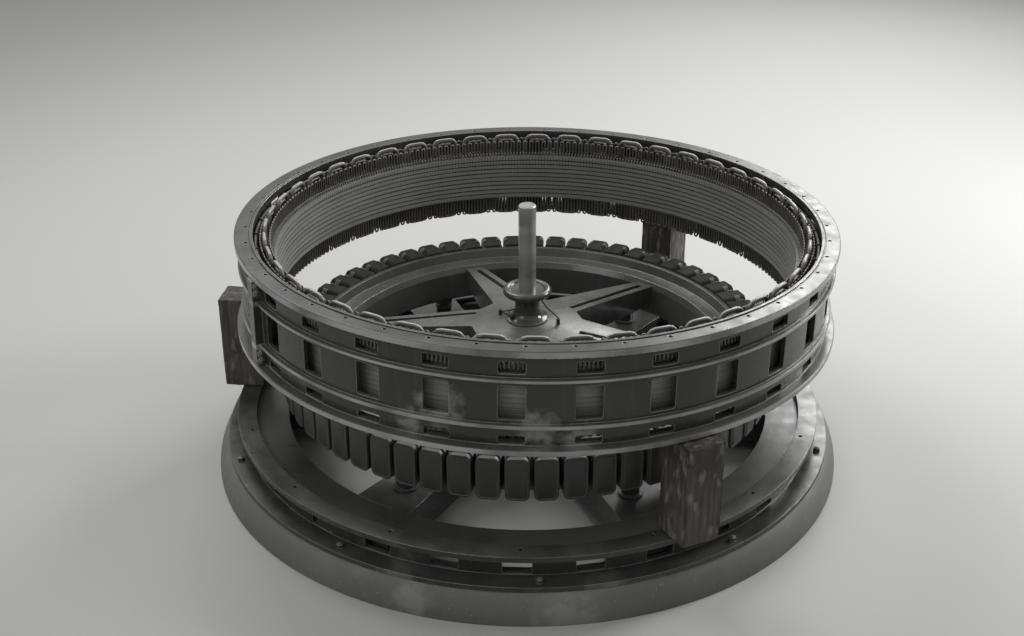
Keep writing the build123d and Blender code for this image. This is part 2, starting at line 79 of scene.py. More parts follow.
def startMaterial(name, place=None):
    # an empty material with its shader and Object coordinates in metres, squared to the stator where it stands askew
    material = bpy.data.materials.new(name)
    material.use_nodes = True
    tree = material.node_tree
    tree.nodes.clear()
    shader = addNode(tree, "ShaderNodeBsdfPrincipled").node
    addNode(tree, "ShaderNodeOutputMaterial", None, {"Surface": shader.outputs["BSDF"]})
    coords = addNode(tree, "ShaderNodeTexCoord", output="Object")
    if place is not None:
        back = place.inverted()
        coords = addNode(tree, "ShaderNodeMapping", None, {
            "Location": back.to_translation(), "Rotation": back.to_euler("XYZ"), "Vector": coords})
    return material, tree, shader, coords


def patches(tree, coords, grainMm, levels=(0, 1), strength=(0.0, 1.0), detail=4.0, stretch=(1, 1, 1)):
    # a ragged mask with patches about grainMm across, which rises from one strength to the other between two levels
    mapped = addNode(tree, "ShaderNodeMapping", None, {"Scale": stretch, "Vector": coords})
    noise = addNode(tree, "ShaderNodeTexNoise", None, {"Scale": 500 / grainMm, "Detail": detail, "Vector": mapped}, "Fac")
    return addNode(tree, "ShaderNodeMapRange", None, {
        "Value": noise, "From Min": levels[0], "From Max": levels[1], "To Min": strength[0], "To Max": strength[1]})


def layered(tree, base, layers):
    # colours laid over a base one after another, each where its mask says
    for mask, colour in layers:
        base = addNode(tree, "ShaderNodeMix", {"data_type": "RGBA"}, {0: mask, 6: base, 7: colour}, 2)
    return base


def reachOf(tree, coords):
    # distance from the machine's axis
    flat = addNode(tree, "ShaderNodeMapping", None, {"Scale": (1, 1, 0), "Vector": coords})
    return addNode(tree, "ShaderNodeVectorMath", {"operation": "LENGTH"}, {0: flat}, "Value")


def betweenHeights(tree, coords, bands):
    # 1 between each pair of heights
    height = addNode(tree, "ShaderNodeSeparateXYZ", None, {"Vector": coords}, "Z")
    total = None
    for low, high in bands:
        above = addNode(tree, "ShaderNodeMath", {"operation": "GREATER_THAN"}, {0: height, 1: low})
        below = addNode(tree, "ShaderNodeMath", {"operation": "LESS_THAN"}, {0: height, 1: high})
        band = addNode(tree, "ShaderNodeMath", times, {0: above, 1: below})
        total = band if total is None else addNode(tree, "ShaderNodeMath", larger, {0: total, 1: band})
    return total


def facingUp(tree):
    # 1 on level tops, 0 on walls, where dust settles
    normal = addNode(tree, "ShaderNodeNewGeometry", output="True Normal")
    upward = addNode(tree, "ShaderNodeSeparateXYZ", None, {"Vector": normal}, "Z")
    return addNode(tree, "ShaderNodeMapRange", None, {"Value": upward, "From Min": 0.55, "From Max": 0.95})


def wornEdges(tree, radiusMm):
    # the rounded normal, and 1 where it leaves the flat one, which is where an edge is rubbed
    rounded = addNode(tree, "ShaderNodeBevel", {"samples": 4}, {"Radius": radiusMm / 1000})
    flat = addNode(tree, "ShaderNodeNewGeometry", output="True Normal")
    agree = addNode(tree, "ShaderNodeVectorMath", {"operation": "DOT_PRODUCT"}, {0: rounded, 1: flat}, "Value")
    return rounded, addNode(tree, "ShaderNodeMapRange", None, {"Value": agree, "From Min": 0.99, "From Max": 0.80})


def smearsAt(tree, coords, spots, grainMm):
    # ragged pale patches round the given places
    total = None
    for x, y, z, radius in spots:
        away = addNode(tree, "ShaderNodeVectorMath", {"operation": "DISTANCE"}, {0: coords, 1: (x, y, z)}, "Value")
        near = addNode(tree, "ShaderNodeMapRange", None, {"Value": away, "From Min": radius, "From Max": radius * 0.2})
        total = near if total is None else addNode(tree, "ShaderNodeMath", larger, {0: total, 1: near})
    ragged = addNode(tree, "ShaderNodeMath", times, {0: total, 1: patches(tree, coords, grainMm)})
    return addNode(tree, "ShaderNodeMapRange", None, {"Value": ragged, "From Min": 0.22, "From Max": 0.5})


# Materials, each from the real one

# levels of the noise between which each mark of use comes up, and how strong it gets
paintMarks = {
    "blotch": {"levels": (0.35, 0.65)}, "dust": {"levels": (0.3, 0.6), "strength": (0.4, 1.0)},
    "runs": {"levels": (0.58, 0.8), "strength": (0.0, 0.35), "stretch": (1, 1, 0.12)},
    "smear": {"grainMm": 180, "levels": (0.35, 0.68), "detail": 5.0},
    # the lip entries set the noise and depth of the painted highlight band on the ribs' rims
    "lip": {"grainMm": 220, "levels": (0.3, 0.6), "strength": (0.15, 0.6), "detail": 5.0}, "highlightRimDepth": (0.0025, 0.0005),
    "specks": {"levels": (0.69, 0.73), "strength": (0.0, 0.8), "detail": 2.0}, "smearsShow": 0.7,
    "edge": {"grainMm": 140, "levels": (0.35, 0.6), "detail": 6.0}, "edgeLeast": 0.35,
    "gloss": {"grainMm": 60, "levels": (0.3, 0.7)}, "glossSpread": (-0.08, 0.1), "dustRoughens": 0.1,
    "machinedMetal": 0.35, "bump": 0.7,
}


def oilPaintOnCastIron(name, look, place=None):
    # dark oil paint over sand-cast iron: soft gloss, a faint cast grain, dust on the tops, rubbed edges;
    # faces that were machined for a joint are left bare and have gone dull grey;
    # where rims are given, a bright band round them is a painted highlight
    material, tree, shader, coords = startMaterial(name, place)
    marks = paintMarks
    level = facingUp(tree)
    dusty = addNode(tree, "ShaderNodeMath", times, {0: level, 1: patches(tree, coords, look["dustMm"], **marks["dust"])})
    layers = [(patches(tree, coords, look["blotchMm"], **marks["blotch"]), look["paintFaded"]), (dusty, look["dust"]),
              (patches(tree, coords, look["runMm"], **marks["runs"]), look["dust"])]
    if look.get("machined"):
        bright = addNode(tree, "ShaderNodeMath", times, {0: betweenHeights(tree, coords, look["machined"]), 1: level})
        stained = (patches(tree, coords, **marks["smear"]), look["machinedStain"])
        layers.append((bright, layered(tree, look["machinedFace"], [stained])))
        feed(tree, shader, {"Metallic": addNode(tree, "ShaderNodeMath", times, {0: bright, 1: marks["machinedMetal"]})})
    for radius, low, high in look.get("lips", ()):
        # painted highlight: a bright band round the outermost rims of the ribs and flange, standing in for the lamps'
        # sheen on the glossy paint
        start, full = (radius - depth for depth in marks["highlightRimDepth"])
        outer = addNode(tree, "ShaderNodeMapRange", None, {
            "Value": reachOf(tree, coords), "From Min": start, "From Max": full})
        band = addNode(tree, "ShaderNodeMath", times, {0: outer, 1: betweenHeights(tree, coords, [(low, high)])})
        # this mask is the painted highlight band, broken up by noise
        rubbed = addNode(tree, "ShaderNodeMath", times, {0: band, 1: patches(tree, coords, **marks["lip"])})
        layers.append((rubbed, look["bare"]))
    if look.get("spots"):
        smears = smearsAt(tree, coords, look["spots"], look["spotMm"])
        layers.append((addNode(tree, "ShaderNodeMath", times, {0: smears, 1: marks["smearsShow"]}), look["stain"]))
    if look.get("speckMm"):
        layers.append((patches(tree, coords, look["speckMm"], **marks["specks"]), look["speck"]))
    rounded, rubbed = wornEdges(tree, look["edgeMm"])
    wear = patches(tree, coords, strength=(look["edgeWear"] * marks["edgeLeast"], look["edgeWear"]), **marks["edge"])
    layers.append((addNode(tree, "ShaderNodeMath", times, {0: rubbed, 1: wear}), look["bare"]))
    gloss = patches(tree, coords, strength=[look["rough"] + part for part in marks["glossSpread"]], **marks["gloss"])
    dulled = addNode(tree, "ShaderNodeMath", times, {0: dusty, 1: marks["dustRoughens"]})
    feed(tree, shader, {
        "Base Color": layered(tree, look["paint"], layers),
        "Roughness": addNode(tree, "ShaderNodeMath", plus, {0: gloss, 1: dulled}),
        "Normal": addNode(tree, "ShaderNodeBump", None, {
            "Height": patches(tree, coords, look["grainMm"]), "Distance": look["grainDepthMm"] / 1000,
            "Strength": marks["bump"], "Normal": rounded})})
    return material


def laminatedCoreIron(look):
    # stacked core plates under old varnish: open ducts round it every few centimetres, and wedged slots up the bore,
    # which show most at the top, where the coils go in
    material, tree, shader, coords = startMaterial("laminatedCoreIron", statorPlace)
    height = addNode(tree, "ShaderNodeSeparateXYZ", None, {"Vector": coords}, "Z")
    turn = addNode(tree, "ShaderNodeTexGradient", {"gradient_type": "RADIAL"}, {"Vector": coords}, "Fac")
    turns = addNode(tree, "ShaderNodeMath", times, {0: turn, 1: look["slotCount"]})
    across = addNode(tree, "ShaderNodeMath", {"operation": "PINGPONG"}, {0: turns, 1: 0.5})
    slot = addNode(tree, "ShaderNodeMapRange", None, {
        "Value": across, "From Min": 0.08, "From Max": 0.2, "To Min": 1.0, "To Max": 0.0})
    inBore = addNode(tree, "ShaderNodeMath", {"operation": "LESS_THAN"}, {0: reachOf(tree, coords), 1: look["boreReach"]})
    slot = addNode(tree, "ShaderNodeMath", times, {0: slot, 1: inBore})
    below = addNode(tree, "ShaderNodeMath", {"operation": "SUBTRACT"}, {0: height, 1: look["stackTop"]})
    stack = addNode(tree, "ShaderNodeMath", {"operation": "DIVIDE"}, {0: below, 1: look["ductPitchMm"] / 1000})
    along = addNode(tree, "ShaderNodeMath", {"operation": "PINGPONG"}, {0: stack, 1: 0.5})
    duct = addNode(tree, "ShaderNodeMapRange", None, {
        "Value": along, "From Min": 0.0, "From Max": look["ductShare"], "To Min": 1.0, "To Max": 0.0})
    entry = addNode(tree, "ShaderNodeMapRange", None, {
        "Value": height, "From Min": look["stackTop"] - 0.13, "From Max": look["stackTop"] - 0.03,
        "To Min": look["slotShows"][0], "To Max": look["slotShows"][1]})
    colour = layered(tree, look["plate"], [
        (patches(tree, coords, 300, (0.35, 0.65)), look["plateLight"]),
        (patches(tree, coords, look["sheetMm"], (0.4, 0.6), (0.0, 0.5), 2.0, (0.02, 0.02, 1)), look["plateDark"]),
        (addNode(tree, "ShaderNodeMath", times, {0: slot, 1: entry}), look["slot"]),
        (addNode(tree, "ShaderNodeMath", times, {0: duct, 1: look["ductShows"]}), look["duct"])])
    feed(tree, shader, {"Base Color": colour, "Roughness": 0.5, "Metallic": 0.25, "Normal": addNode(
        tree, "ShaderNodeBump", None, {
            "Height": addNode(tree, "ShaderNodeMath", plus, {0: slot, 1: duct}), "Distance": -0.004, "Strength": 0.35})})
    return material


def varnishedTape(look):
    # cotton tape lapped round the coils and dipped in varnish: ridges across the bar, a dull shine, dust on top
    material, tree, shader, coords = startMaterial("varnishedTape", statorPlace)
    laps = addNode(tree, "ShaderNodeTexWave", {"bands_direction": "Z"}, {
        "Scale": 0.314 / (look["lapMm"] / 1000), "Distortion": 1.5, "Detail": 2.0, "Vector": coords}, "Fac")
    colour = layered(tree, look["tape"], [
        (patches(tree, coords, 120, (0.3, 0.7)), look["tapeLight"]),
        (addNode(tree, "ShaderNodeMath", times, {0: facingUp(tree), 1: 0.9}), look["dust"])])
    feed(tree, shader, {"Base Color": colour, "Roughness": look["rough"], "Normal": addNode(
        tree, "ShaderNodeBump", None, {"Height": laps, "Distance": 0.0012, "Strength": 0.5})})
    return material


def edgeWoundCopper(look):
    # copper strip wound on edge, painted over: its turns show as fine lines round the coil
    material, tree, shader, coords = startMaterial("edgeWoundCopper")
    turns = addNode(tree, "ShaderNodeMath", {"operation": "DIVIDE"}, {0: reachOf(tree, coords), 1: look["turnMm"] / 1000})
    across = addNode(tree, "ShaderNodeMath", {"operation": "PINGPONG"}, {0: turns, 1: 0.5})
    gap = addNode(tree, "ShaderNodeMapRange", None, {
        "Value": across, "From Min": 0.0, "From Max": 0.14, "To Min": 1.0, "To Max": 0.0})
    colour = layered(tree, look["strip"], [
        (patches(tree, coords, 150, (0.35, 0.65)), look["stripLight"]),
        (addNode(tree, "ShaderNodeMath", times, {0: gap, 1: 0.8}), look["paper"])])
    feed(tree, shader, {"Base Color": colour, "Roughness": 0.45, "Normal": addNode(
        tree, "ShaderNodeBump", None, {"Height": gap, "Distance": -0.0015, "Strength": 0.7})})
    return material


def braidedCable(look):
    # cotton braid over rubber, blackened by oil
    material, tree, shader, coords = startMaterial("braidedCable")
    braid = patches(tree, coords, look["braidMm"], detail=2.0)
    feed(tree, shader, {"Base Color": layered(tree, look["dark"], [(braid, look["light"])]), "Roughness": 0.7})
    return material


def turnedSteel(look):
    # lathe-turned bright steel: rings left by the tool, oil stains
    material, tree, shader, coords = startMaterial("turnedSteel")
    rings = {"grainMm": look["ringMm"], "detail": 3.0, "stretch": (0.02, 0.02, 1)}
    colour = layered(tree, look["steel"], [
        (patches(tree, coords, look["bandMm"], (0.42, 0.58), detail=1.0, stretch=(0.02, 0.02, 1)), look["steelDark"]),
        (patches(tree, coords, 60, (0.55, 0.75), (0.0, 0.6)), look["oil"])])
    feed(tree, shader, {
        "Base Color": colour, "Metallic": 0.8,
        "Roughness": patches(tree, coords, levels=(0.3, 0.7), strength=(0.25, 0.45), **rings),
        "Normal": addNode(tree, "ShaderNodeBump", None, {
            "Height": patches(tree, coords, **rings), "Distance": 0.0003, "Strength": 0.5})})
    return material


def oldTimber(look):
    # sawn softwood balk, oil-soaked and knocked about: upright grain, pale scuffs, rubbed corners
    material, tree, shader, coords = startMaterial("oldTimber")
    grain = {"grainMm": look["grainMm"], "detail": 8.0, "stretch": (1, 1, 0.06)}
    rounded, rubbed = wornEdges(tree, 14)
    colour = layered(tree, look["wood"], [
        (patches(tree, coords, levels=(0.35, 0.65), **grain), look["woodDark"]),
        (patches(tree, coords, 160, (0.45, 0.65), (0.0, 0.8)), look["soaked"]),
        (patches(tree, coords, 26, (0.54, 0.7), (0.0, 0.6), 8.0, (1, 1, 0.35)), look["scuff"]),
        (addNode(tree, "ShaderNodeMath", times, {0: rubbed, 1: 0.7}), look["scuff"])])
    feed(tree, shader, {"Base Color": colour, "Roughness": 0.72, "Normal": addNode(tree, "ShaderNodeBump", None, {
        "Height": patches(tree, coords, **grain), "Distance": 0.005, "Strength": 0.8, "Normal": rounded})})
    return material


# on the frame the rubbed edges are strong and the bare colour pale: worn paint, and partly a painted highlight for the
# lamps' sheen along edges
framePaint = oilPaintOnCastIron("framePaint", {
    "paint": "#2a2a29", "paintFaded": "#363635", "dust": "#5c5c5a", "bare": "#c3c3c0", "stain": "#8a8a88",
    "machinedFace": "#50504f", "machinedStain": "#3f3f3e", "machined": [(1.893, 1.92)],
    # the ribs' and flange's rims that get the painted highlight band
    "lips": [(2.250, 1.85, 1.905), (2.236, 1.665, 1.70), (2.230, 1.33, 1.372), (2.272, 1.165, 1.215)],
    "blotchMm": 500, "dustMm": 260, "runMm": 50, "edgeMm": 9, "edgeWear": 0.9, "rough": 0.24,
    "grainMm": 9, "grainDepthMm": 1.0, "spotMm": 30,
    "spots": [(-0.66, -2.14, 1.44, 0.30), (-0.86, -2.05, 1.30, 0.2), (-0.02, -2.2, 1.32, 0.26),
              (0.25, -2.19, 1.25, 0.22)]},
    statorPlace)
ringPaint = oilPaintOnCastIron("ringPaint", {
    "paint": "#2b2b2a", "paintFaded": "#393938", "dust": "#565654", "bare": "#9c9c99", "stain": "#6e6e6c",
    "machinedFace": "#585856", "machinedStain": "#3f3f3e", "machined": [(0.4295, 0.4305), (0.2515, 0.2525)],
    "blotchMm": 420, "dustMm": 300, "runMm": 60, "edgeMm": 8, "edgeWear": 0.9, "rough": 0.26,
    "grainMm": 11, "grainDepthMm": 1.2, "spotMm": 60,
    "spots": [(-0.9, -2.2, 0.25, 0.3), (0.5, -2.3, 0.24, 0.25)]})
rotorPaint = oilPaintOnCastIron("rotorPaint", {
    "paint": "#464645", "paintFaded": "#555554", "dust": "#6e6e6c", "bare": "#c0c0be",
    "blotchMm": 350, "dustMm": 200, "runMm": 50, "edgeMm": 12, "edgeWear": 0.75, "rough": 0.17,
    "grainMm": 10, "grainDepthMm": 1.0})
hubPaint = oilPaintOnCastIron("hubPaint", {
    "paint": "#323231", "paintFaded": "#3f3f3e", "dust": "#535352", "bare": "#c0c0be",
    "blotchMm": 200, "dustMm": 120, "runMm": 40, "edgeMm": 6, "edgeWear": 0.6, "rough": 0.14,
    "grainMm": 10, "grainDepthMm": 0.4})
curbPaint = oilPaintOnCastIron("curbPaint", {
    "paint": "#595958", "paintFaded": "#666665", "dust": "#737371", "bare": "#8c8c8a", "stain": "#828280",
    "blotchMm": 600, "dustMm": 200, "runMm": 90, "edgeMm": 10, "edgeWear": 0.3, "rough": 0.55,
    "grainMm": 6, "grainDepthMm": 0.8, "speckMm": 9, "speck": "#8a8a87", "spotMm": 45,
    "spots": [(0.25, -2.42, 0.08, 0.4), (-0.8, -2.28, 0.1, 0.3)]})
poleIron = oilPaintOnCastIron("poleIron", {
    "paint": "#2c2c2b", "paintFaded": "#3a3a39", "dust": "#424241", "bare": "#8f8f8d",
    "blotchMm": 240, "dustMm": 120, "runMm": 30, "edgeMm": 8, "edgeWear": 0.6, "rough": 0.4,
    "grainMm": 7, "grainDepthMm": 0.7})
coreIron = laminatedCoreIron({
    "plate": "#868684", "plateLight": "#949492", "plateDark": "#6e6e6c", "slot": "#4c4c4b", "duct": "#454544",
    "slotCount": 460, "boreReach": 2.0, "slotShows": (0.22, 0.7), "sheetMm": 9, "stackTop": 1.732, "ductPitchMm": 38.2,
    "ductShare": 0.16, "ductShows": 0.27})
tapeFinish = varnishedTape({"tape": "#494744", "tapeLight": "#62605b", "dust": "#a3a19d", "lapMm": 18, "rough": 0.34})
ringLeadFinish = varnishedTape({"tape": "#2b2a28", "tapeLight": "#3b3936", "dust": "#5b5955", "lapMm": 22, "rough": 0.5})
stripFinish = edgeWoundCopper({"strip": "#32312f", "stripLight": "#3f3e3b", "paper": "#1c1b1a", "turnMm": 11})
cableFinish = braidedCable({"dark": "#1b1a19", "light": "#34322f", "braidMm": 4})
fingerFinish = oilPaintOnCastIron("fingerBronze", {
    "paint": "#5c5b58", "paintFaded": "#73726f", "dust": "#a3a29e", "bare": "#a6a6a3",
    "blotchMm": 90, "dustMm": 60, "runMm": 30, "edgeMm": 3, "edgeWear": 0.5, "rough": 0.4,
    "grainMm": 6, "grainDepthMm": 0.4},
    statorPlace)
# pale, barely metallic paint on the pole clips: tinned metal, and partly a painted highlight for the glint on the
# poles' top corners
clipAndGlintFinish = oilPaintOnCastIron("tinnedClipAndGlint", {
    "paint": "#7d7d7a", "paintFaded": "#8f8f8c", "dust": "#a3a29e", "bare": "#b6b6b3",
    "blotchMm": 60, "dustMm": 60, "runMm": 30, "edgeMm": 2, "edgeWear": 0.5, "rough": 0.35,
    "grainMm": 6, "grainDepthMm": 0.2})
steelFinish = turnedSteel({"steel": "#b2b2af", "steelDark": "#9c9c99", "oil": "#6a6864", "ringMm": 5, "bandMm": 90})
timberFinish = oldTimber({
    "wood": "#524f4a", "woodDark": "#383532", "soaked": "#2c2a28", "scuff": "#8c8982", "grainMm": 14})
print("materials made")


# Materials on the carried-over pieces

finishes = {
    "plinth": curbPaint, "base_ring": ringPaint, "base_bolts": ringPaint, "pit_cover": ringPaint,
    "lower_bracket": ringPaint, "lower_bearing": ringPaint, "brake_jacks": ringPaint,
    "block_left": timberFinish, "block_front": timberFinish, "block_rear": timberFinish,
    "stator_frame_a": framePaint, "stator_frame_b": framePaint, "joint_bolts": framePaint,
    "core": coreIron, "core_bars": coreIron, "clamp_fingers_upper": poleIron, "clamp_fingers_lower": poleIron,
    "upper_coils": tapeFinish, "lower_coils": tapeFinish,
    "shaft": steelFinish, "collar_ring": hubPaint, "hub": hubPaint, "spider": rotorPaint,
    "rim": rotorPaint, "brake_track": rotorPaint, "pole_bodies": poleIron, "field_coils": stripFinish,
    "pole_shoes": poleIron, "pole_clips": clipAndGlintFinish, "rotor_leads": cableFinish,
}
for name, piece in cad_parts.items():
    finish = finishes.get(name, framePaint)
    if not piece.material_slots:
        piece.data.materials.append(finish)
    for place in piece.material_slots:
        place.material = finish
print("carried-over pieces finished")


# Modelling helpers

def deselect():
    if bpy.context.object and bpy.context.object.mode != "OBJECT":
        bpy.ops.object.mode_set(mode="OBJECT")
    bpy.ops.object.select_all(action="DESELECT")


def bentBar(width, rise, bend, bar):
    # a round bar bent to a narrow arch: up from its foot, round, across, round and down again
    deselect()
    bpy.ops.mesh.primitive_circle_add(vertices=6, radius=bar / 2, fill_type="NGON", location=(-width / 2, 0, 0))
    piece = bpy.context.object
    bpy.ops.object.transform_apply(location=True)
    bpy.ops.object.mode_set(mode="EDIT")
    bpy.ops.mesh.select_all(action="SELECT")
    bpy.ops.mesh.extrude_region_move(TRANSFORM_OT_translate={"value": (0, 0, rise - bend)})
    bpy.ops.mesh.spin(steps=3, angle=-math.pi / 2, center=(bend - width / 2, 0, rise - bend), axis=(0, 1, 0))
    bpy.ops.mesh.extrude_region_move(TRANSFORM_OT_translate={"value": (width - 2 * bend, 0, 0)})
    bpy.ops.mesh.spin(steps=3, angle=-math.pi / 2, center=(width / 2 - bend, 0, rise - bend), axis=(0, 1, 0))
    bpy.ops.mesh.extrude_region_move(TRANSFORM_OT_translate={"value": (0, 0, bend - rise)})
    bpy.ops.mesh.select_all(action="SELECT")
    bpy.ops.mesh.remove_doubles(threshold=0.0001)
    bpy.ops.mesh.normals_make_consistent(inside=False)
    bpy.ops.object.mode_set(mode="OBJECT")
    bpy.ops.object.shade_smooth_by_angle(angle=math.radians(70))
    return piece


def copiesAt(template, name, angles, body, replaced, place=None):
    # one mesh of all the copies, each turned about the machine's axis
    placed = []
    for angle in angles:
        copy = template.copy()
        copy.data = template.data.copy()
        copy.data.transform((place or Matrix.Identity(4)) @ Matrix.Rotation(math.radians(angle), 4, "Z"))
        scene.collection.objects.link(copy)
        placed.append(copy)
    deselect()
    for copy in placed:
        copy.select_set(True)
    bpy.context.view_layer.objects.active = placed[0]
    bpy.ops.object.join()
    piece = bpy.context.object
    piece.name = name
    bpy.data.objects.remove(template)
    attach(piece, body)
    if replaced:
        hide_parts(replaced)
    return piece


def evenly(count, start):
    return [start + i * 360 / count for i in range(count)]


def joinAll(pieces):
    deselect()
    for piece in pieces:
        piece.select_set(True)
    bpy.context.view_layer.objects.active = pieces[0]
    bpy.ops.object.join()
    return bpy.context.object


# End windings: a stout connecting loop stands behind each set of nested taped coils

windings = {
    "groupCount": 46, "startAngle": -91.2, "upperFoot": 1.754, "upperNose": 1.890, "lowerFoot": 1.328, "lowerNose": 1.171,
    # radius, width, bend, bar, how far the nose stays back, and the places round the pitch, of the bars of a group
    "upperBars": ((2.030, 0.204, 0.052, 0.034, -0.018, (0,)), (2.034, 0.128, 0.030, 0.016, 0.028, (0,)),
                  (1.992, 0.027, 0.0132, 0.013, 0.030, (-0.109, -0.0545, 0, 0.0545, 0.109)),
                  (2.062, 0.028, 0.0137, 0.014, 0.022, (-0.085, -0.028, 0.028, 0.085, 0.141))),
    "lowerBars": ((2.030, 0.204, 0.052, 0.034, 0.004, (0,)),
                  (1.992, 0.027, 0.0132, 0.016, 0.022, (-0.109, -0.0545, 0, 0.0545, 0.109)),
                  (2.026, 0.026, 0.0127, 0.020, 0.012, (-0.078, -0.026, 0.026, 0.078)),
                  (2.062, 0.028, 0.0137, 0.018, 0.016, (-0.085, -0.028, 0.028, 0.085, 0.141))),
}


def coilGroup(name, foot, nose):
    # one group, standing at azimuth 0 on its side of the core
    bars = []
    upward = nose > foot
    for radius, width, bend, bar, back, places in windings[name + "Bars"]:
        for place in places:
            piece = bentBar(width, abs(nose - foot) - bar / 2 - back, bend, bar)
            turn = Matrix.Rotation(math.radians(90), 4, "Z")
            if not upward:
                turn = turn @ Matrix.Rotation(math.radians(180), 4, "Y")
            piece.data.transform(Matrix.Rotation(place / radius, 4, "Z") @ Matrix.Translation((radius, 0, foot)) @ turn)
            bars.append(piece)
    group = joinAll(bars)
    group.data.materials.append(tapeFinish)
    return group


for side, foot, nose in (("upper", windings["upperFoot"], windings["upperNose"]),
                         ("lower", windings["lowerFoot"], windings["lowerNose"])):
    copiesAt(coilGroup(side, foot, nose), side + "_winding", evenly(windings["groupCount"], windings["startAngle"]),
             "stand", side + "_coils", statorPlace)


# Connection ring: four taped leads run round behind the upper winding, each group strapping them down

leadRing = {"radius": 2.096, "bar": 0.024, "foot": 1.754, "leads": 4, "steps": 138, "cleatWidth": 0.034,
            "cleatBar": 0.010, "cleatPlace": 0.113}


def ringLead(level):
    deselect()
    bpy.ops.mesh.primitive_circle_add(vertices=8, radius=leadRing["bar"] / 2, location=(leadRing["radius"], 0, level),
                                      rotation=(math.radians(90), 0, 0))
    piece = bpy.context.object
    bpy.ops.object.transform_apply(location=True, rotation=True)
    bpy.ops.object.mode_set(mode="EDIT")
    bpy.ops.mesh.select_all(action="SELECT")
    bpy.ops.mesh.spin(steps=leadRing["steps"], angle=2 * math.pi, center=(0, 0, level), axis=(0, 0, 1))
    bpy.ops.mesh.select_all(action="SELECT")
    bpy.ops.mesh.remove_doubles(threshold=0.0005)
    bpy.ops.mesh.normals_make_consistent(inside=False)
    bpy.ops.object.mode_set(mode="OBJECT")
    bpy.ops.object.shade_smooth_by_angle(angle=math.radians(70))
    return piece


leadPieces = [ringLead(leadRing["foot"] + leadRing["bar"] * (i + 0.5)) for i in range(leadRing["leads"])]
strap = bentBar(leadRing["cleatWidth"], leadRing["leads"] * leadRing["bar"] + leadRing["cleatBar"] / 2,
                leadRing["cleatWidth"] * 0.45, leadRing["cleatBar"])
for angle in evenly(windings["groupCount"], windings["startAngle"]):
    cleat = strap.copy()
    cleat.data = strap.data.copy()
    cleat.data.transform(Matrix.Rotation(math.radians(angle) + leadRing["cleatPlace"] / leadRing["radius"], 4, "Z")
                         @ Matrix.Translation((leadRing["radius"], 0, leadRing["foot"])))
    scene.collection.objects.link(cleat)
    leadPieces.append(cleat)
bpy.data.objects.remove(strap)
leads = joinAll(leadPieces)
leads.name = "ring_leads"
leads.data.transform(statorPlace)
leads.data.materials.append(ringLeadFinish)
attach(leads, "stand")
print("end windings made")


# Clamp fingers: bars laid on the core's end plates, each turned up at the back where it shows in the frame's slots

fingers = {"count": 460, "inner": 1.968, "outer": 2.152, "back": 2.138, "width": 0.011, "thick": 0.022, "upper": 1.732,
           "lower": 1.350, "tail": 0.052}


def clampFinger(level, rise, tail):
    # one finger at azimuth 0: a bar along the radius with its tail standing off it
    deselect()
    bpy.ops.mesh.primitive_cube_add(size=1, location=((fingers["inner"] + fingers["outer"]) / 2, 0, level + rise / 2))
    piece = bpy.context.object
    piece.scale = (fingers["outer"] - fingers["inner"], fingers["width"], abs(rise))
    bpy.ops.object.transform_apply(location=True, scale=True)
    bpy.ops.object.mode_set(mode="EDIT")
    bpy.ops.mesh.select_all(action="SELECT")
    bpy.ops.mesh.bisect(plane_co=(fingers["back"], 0, 0), plane_no=(1, 0, 0))
    bpy.ops.mesh.select_mode(type="FACE")
    bpy.ops.mesh.select_all(action="DESELECT")
    bpy.ops.object.mode_set(mode="OBJECT")
    for face in piece.data.polygons:
        face.select = face.normal.z * rise > 0 and abs(face.normal.z) > 0.9 and face.center.x > fingers["back"]
    bpy.ops.object.mode_set(mode="EDIT")
    bpy.ops.mesh.extrude_region_move(TRANSFORM_OT_translate={"value": (0, 0, tail)})
    middle = (fingers["back"] + fingers["outer"]) / 2
    bpy.ops.transform.resize(value=(0.8, 0.7, 1), center_override=(middle, 0, level + rise + tail))
    bpy.ops.mesh.select_all(action="SELECT")
    bpy.ops.mesh.normals_make_consistent(inside=False)
    bpy.ops.object.mode_set(mode="OBJECT")
    piece.data.materials.append(fingerFinish)
    return piece


for side, level, rise, tail in (("upper", fingers["upper"], fingers["thick"], fingers["tail"]),
                                ("lower", fingers["lower"], -fingers["thick"], -fingers["tail"])):
    copiesAt(clampFinger(level, rise, tail), side + "_fingers", evenly(fingers["count"], 0), "stand",
             "clamp_fingers_" + side, statorPlace)
print("clamp fingers made")


# Pole shoes: a rounded iron face with its edges eased and a shallow raised field

shoe = {"count": 60, "startAngle": -92.6, "face": 1.912, "thick": 0.050, "width": 0.168, "low": 0.630,
        "height": 0.326, "corner": 0.042, "ease": 0.006, "border": 0.012, "groove": 0.005, "field": 0.004}


